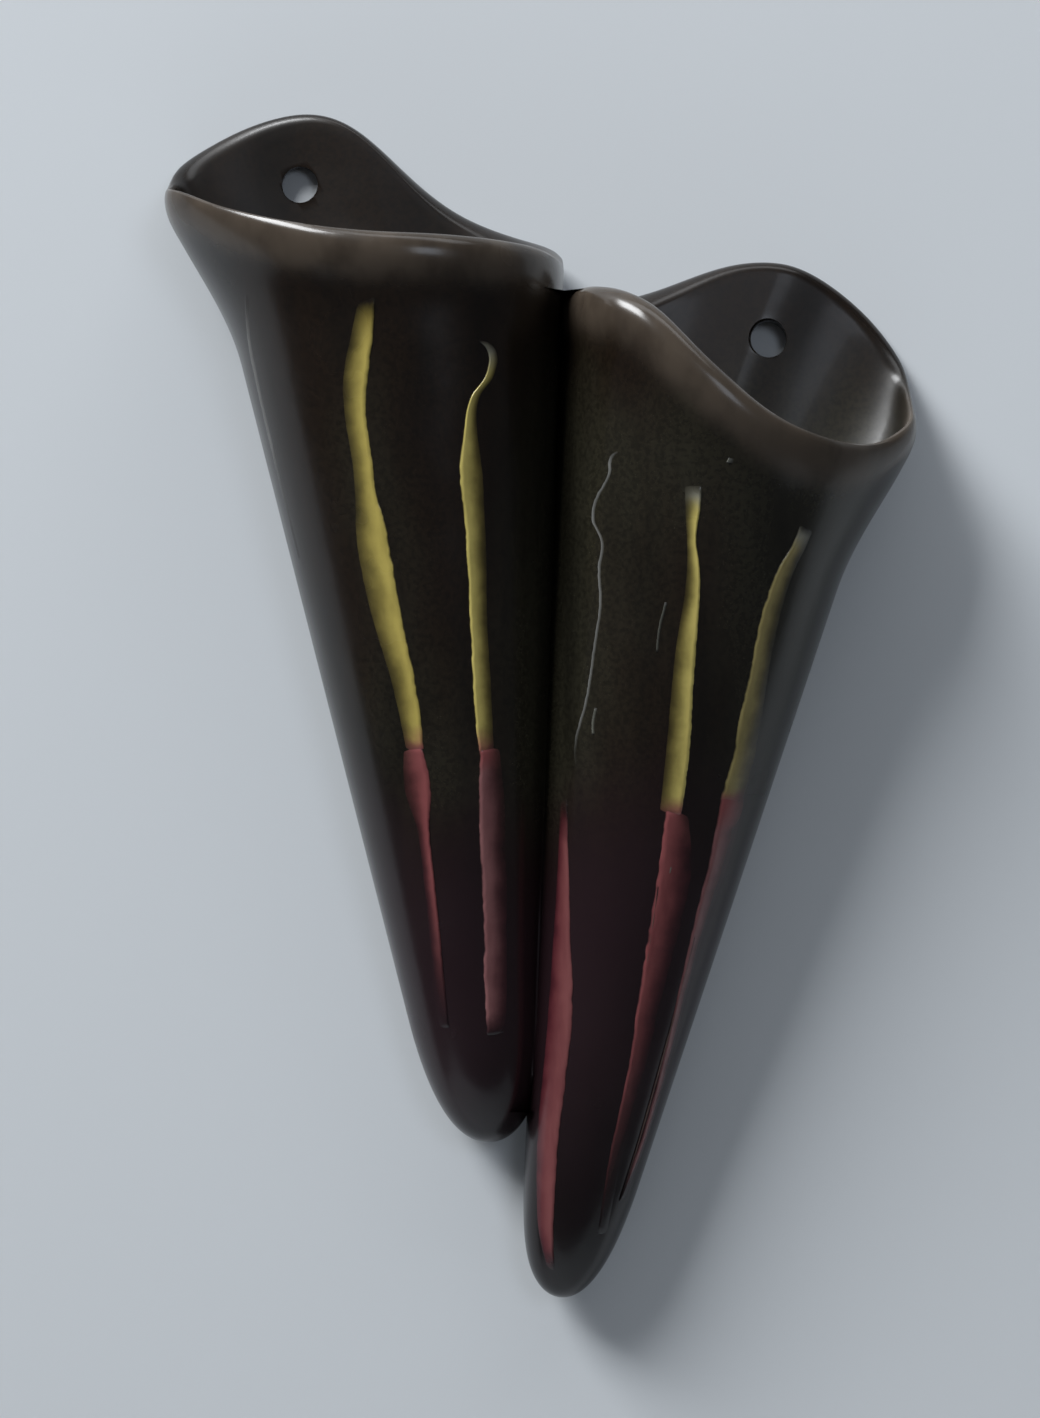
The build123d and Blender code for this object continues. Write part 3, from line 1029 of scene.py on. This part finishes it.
LEFT_TRAILS = [
    Trail("left_outer_trail", FAINT, "pale_glaze", [
        (144, -0.83, -0.78), (136.7, -0.905, -0.865), (130.7, -0.92, -0.88), (118, -0.93, -0.89),
        (100, -0.93, -0.89)], True, relief=0.16, spread=1.3),
    Trail("left_middle_upper_trail", PLAIN_YELLOW, "yellow_glaze", [
        (139.5, -0.20, -0.125), (135, -0.26, -0.155), (127.6, -0.35, -0.222), (123, -0.38, -0.265),
        (113, -0.39, -0.279), (108.5, -0.405, -0.28), (103, -0.43, -0.25), (92, -0.43, -0.239),
        (85, -0.40, -0.223), (79, -0.365, -0.20), (74, -0.35, -0.195), (66.6, -0.34, -0.21)],
        False, seed=1.0),
    Trail("left_middle_lower_trail", EMBER, "red_glaze", [
        (67.8, -0.36, -0.22), (61, -0.40, -0.19), (54.4, -0.37, -0.26), (44.4, -0.40, -0.295),
        (35, -0.446, -0.33), (26, -0.51, -0.377), (20.8, -0.52, -0.41)], False, seed=2.0),
    Trail("left_inner_upper_trail", YELLOW, "yellow_glaze", [
        (131.5, 0.40, 0.44), (129.5, 0.46, 0.51), (126, 0.45, 0.50), (122, 0.345, 0.40), (116.7, 0.295, 0.38),
        (113.3, 0.265, 0.39), (109, 0.251, 0.40), (104.4, 0.262, 0.40), (97, 0.263, 0.40),
        (91, 0.259, 0.39), (84, 0.252, 0.385), (77, 0.245, 0.39), (70.5, 0.246, 0.39),
        (65.2, 0.262, 0.39)], True, spread=1.45, seed=3.0),
    Trail("left_inner_lower_trail", PINK, "red_glaze", [
        (66.6, 0.265, 0.41), (57.4, 0.221, 0.43), (50.5, 0.2, 0.425), (43.6, 0.187, 0.42),
        (36.7, 0.173, 0.40), (29.6, 0.129, 0.38), (22.6, 0.107, 0.35), (18.9, 0.095, 0.335)],
        True, seed=4.0),
]
RIGHT_TRAILS = [
    Trail("right_inner_upper_trail", PALE, "pale_glaze", [
        (140, -0.55, -0.52), (138.8, -0.6, -0.57), (136, -0.6, -0.575), (131.4, -0.665, -0.635),
        (128.8, -0.67, -0.64), (125, -0.6, -0.57), (121, -0.605, -0.575), (115, -0.575, -0.545),
        (110, -0.585, -0.555), (105, -0.595, -0.565), (100, -0.61, -0.58), (92, -0.665, -0.635),
        (88, -0.64, -0.61)], True, relief=0.22, spread=1.1, ragged=0.6, seed=5.0),
    Trail("right_inner_lower_trail", BLUSH, "red_glaze", [
        (83.5, -0.76, -0.69), (72, -0.76, -0.62), (62, -0.77, -0.55), (50, -0.80, -0.44),
        (39, -0.82, -0.42), (27.5, -0.85, -0.42), (18.5, -0.81, -0.38), (11, -0.73, -0.33), (5, -0.5, -0.25)],
        False, spread=1.1, seed=6.0),
    Trail("right_middle_upper_trail", YELLOW, "yellow_glaze", [
        (136.5, -0.14, -0.05), (131.8, -0.10, -0.029), (128, -0.07, -0.02), (123.8, -0.035, 0.033),
        (119.8, -0.015, 0.068), (110.8, 0.0, 0.119), (103.6, 0.027, 0.162), (97, 0.06, 0.212),
        (90.6, 0.09, 0.249), (83.6, 0.12, 0.275)], False, seed=7.0),
    Trail("right_middle_lower_trail", EMBER, "red_glaze", [
        (85, 0.12, 0.28), (75, 0.16, 0.42), (66, 0.19, 0.45), (54, 0.236, 0.46), (42, 0.31, 0.50),
        (25, 0.35, 0.52), (12.5, 0.5, 0.65)], True, seed=8.0),
    Trail("right_outer_upper_trail", DULL_YELLOW, "yellow_glaze", [
        (133.5, 0.575, 0.65), (129.9, 0.565, 0.64), (125.7, 0.519, 0.61), (118, 0.492, 0.6),
        (109.4, 0.515, 0.63), (100.6, 0.53, 0.68), (94.8, 0.557, 0.71), (87.2, 0.545, 0.73)],
        True, seed=9.0),
    Trail("right_outer_lower_trail", PINK, "red_glaze", [
        (88.8, 0.55, 0.73), (77.5, 0.6, 0.76), (68.8, 0.62, 0.74), (57.5, 0.66, 0.75),
        (43.8, 0.72, 0.81), (31, 0.76, 0.84), (18.8, 0.70, 0.78)], True, seed=10.0),
]
MARKS = [
    Mark("pale_scratch", FLECK, "pale_glaze", [
        (117.3, -0.15, -0.135), (113, -0.165, -0.15), (109.2, -0.157, -0.142)], True, ragged=0.8, seed=11.0),
    Mark("pale_chip", FLECK, "pale_glaze", [
        (98.7, -0.535, -0.52), (96.5, -0.545, -0.53), (94.4, -0.535, -0.52)], True, ragged=0.8, seed=12.0),
    Mark("upper_speck", FLECK, "pale_glaze", [(141.3, 0.05, 0.075), (140.6, 0.045, 0.075)], True, seed=13.0),
    Mark("lower_speck", FLECK, "pale_glaze", [(75.4, 0.27, 0.30), (74.4, 0.27, 0.30)], True, seed=14.0),
    # The two ridge marks are raised ridges of the glaze. Their pinkish-grey colour is a painted highlight.
    Mark("inner_ridge", RIDGE_HIGHLIGHT, "pale_glaze", [
        (72.4, 0.195, 0.215), (63, 0.235, 0.255), (52, 0.285, 0.31), (41.5, 0.35, 0.375)], True, seed=15.0),
    Mark("outer_ridge", RIDGE_HIGHLIGHT, "pale_glaze", [
        (65.4, 0.665, 0.69), (55, 0.69, 0.715), (42.3, 0.705, 0.735), (30, 0.72, 0.75), (18.5, 0.70, 0.73)],
        True, seed=16.0),
]


# Room


@dataclass(frozen=True)
class Lamp:
    """A soft rectangular lamp aimed at the vase; sizes in metres, power in watts."""

    name: str
    spot: tuple
    size: tuple
    power: float
    colour: tuple

    def build(self) -> None:
        """Hang the lamp."""
        lamp = bpy.data.lights.new(self.name, "AREA")
        lamp.shape = "RECTANGLE"
        lamp.size, lamp.size_y = self.size
        lamp.energy = self.power
        lamp.color = self.colour
        made = bpy.data.objects.new(self.name, lamp)
        made.location = self.spot
        made.rotation_euler = (-Vector(self.spot)).to_track_quat("-Z", "Y").to_euler()
        bpy.context.scene.collection.objects.link(made)


LAMPS = [
    Lamp("window", (-1.25, -0.90, 1.55), (1.1, 0.8), 62.0, (0.96, 0.98, 1.0)),
    Lamp("overhead", (-0.10, -0.56, 1.70), (2.6, 0.6), 12.0, (0.94, 0.97, 1.0)),
    Lamp("fill", (0.31, -0.9, 0.22), (0.26, 0.3), 0.8, (0.80, 0.88, 1.0)),
]


@dataclass
class Studio:
    """Wall, floor, backdrop and camera; sizes in metres."""

    distance: float = 0.48
    frame_height: float = 0.242
    film: float = 24.0
    clip_start: float = 0.01
    wall_y: float = 0.0006
    half_width: float = 2.0
    height: float = 2.0
    floor_z: float = -1.5
    floor_front: float = -1.4
    wall_colour: tuple = (0.665, 0.695, 0.72)
    daylight: tuple = (0.075, 0.077, 0.082)
    reflected: tuple = (0.065, 0.067, 0.074)
    backdrop: tuple = (0.62, 0.65, 0.69)

    def paper(self) -> bpy.types.Material:
        """Pale paint that shows only from its front."""
        loom, made = open_material("pale_wall")
        paint = loom.add(
            "ShaderNodeBsdfPrincipled", {},
            {"Base Color": (*self.wall_colour, 1.0), "Roughness": 0.7, "Specular IOR Level": 0.2},
        )
        clear = loom.add("ShaderNodeBsdfTransparent")
        behind = loom.add("ShaderNodeNewGeometry")["Backfacing"]
        both = loom.add("ShaderNodeMixShader", {}, {0: behind, 1: paint, 2: clear})
        loom.add("ShaderNodeOutputMaterial", {}, {"Surface": both})
        return made

    def plane(self, name: str, corners: list, paint: bpy.types.Material) -> None:
        """A stage plane through corners."""
        mesh = bpy.data.meshes.new(name)
        mesh.from_pydata(corners, [], [(0, 1, 2, 3)])
        mesh.materials.append(paint)
        made = bpy.data.objects.new(name, mesh)
        bpy.context.scene.collection.objects.link(made)

    def world(self) -> None:
        """Dim, even daylight; the camera sees a pale backdrop."""
        world = bpy.data.worlds.new("room")
        world.use_nodes = True
        world.node_tree.nodes.clear()
        loom = Loom(world.node_tree)
        path = loom.add("ShaderNodeLightPath")
        tone = loom.mix(path["Is Glossy Ray"], self.daylight, self.reflected)
        tone = loom.mix(path["Is Camera Ray"], tone, self.backdrop)
        glow = loom.add("ShaderNodeBackground", {}, {"Color": tone, "Strength": 1.0})
        loom.add("ShaderNodeOutputWorld", {}, {"Surface": glow})
        bpy.context.scene.world = world

    def camera(self) -> None:
        """The camera, straight in front of the wall."""
        data = bpy.data.cameras.new("camera")
        data.sensor_fit = "VERTICAL"
        data.sensor_height = self.film
        data.lens = self.film * self.distance / self.frame_height
        data.clip_start = self.clip_start
        made = bpy.data.objects.new("camera", data)
        made.location = (0.0, -self.distance, 0.0)
        made.rotation_euler = (math.pi / 2, 0.0, 0.0)
        bpy.context.scene.collection.objects.link(made)
        bpy.context.scene.camera = made

    def build(self) -> None:
        """Set up the whole room."""
        paint = self.paper()
        side, back, low = self.half_width, self.wall_y, self.floor_z
        self.plane("wall", [(-side, back, low), (side, back, low), (side, back, self.height),
                            (-side, back, self.height)], paint)
        self.plane("floor", [(-side, self.floor_front, low), (side, self.floor_front, low), (side, back, low),
                             (-side, back, low)], paint)
        for lamp in LAMPS:
            lamp.build()
        self.world()
        self.camera()
        bpy.context.scene.view_settings.view_transform = "Standard"


def main() -> None:
    """Build every piece of the vase in its room."""
    logging.basicConfig(level=logging.INFO, format="%(name)s: %(message)s")
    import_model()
    Studio().build()
    glaze = DarkGlaze().material("dark_glaze")
    left = Cone("left_cone", LEFT_SHAPE, -37.4, 89.1).build(glaze)
    right = Cone("right_cone", RIGHT_SHAPE, 42.2, 62.7).build(glaze)
    SeamSlip(left, right).build(glaze)
    nodes = TrailNodes()
    for trail in LEFT_TRAILS:
        nodes.lay(trail, LEFT_SHAPE, left)
    for trail in RIGHT_TRAILS:
        nodes.lay(trail, RIGHT_SHAPE, right)
    for mark in MARKS:
        nodes.lay(mark, RIGHT_SHAPE, right)


if __name__ == "__main__":
    main()
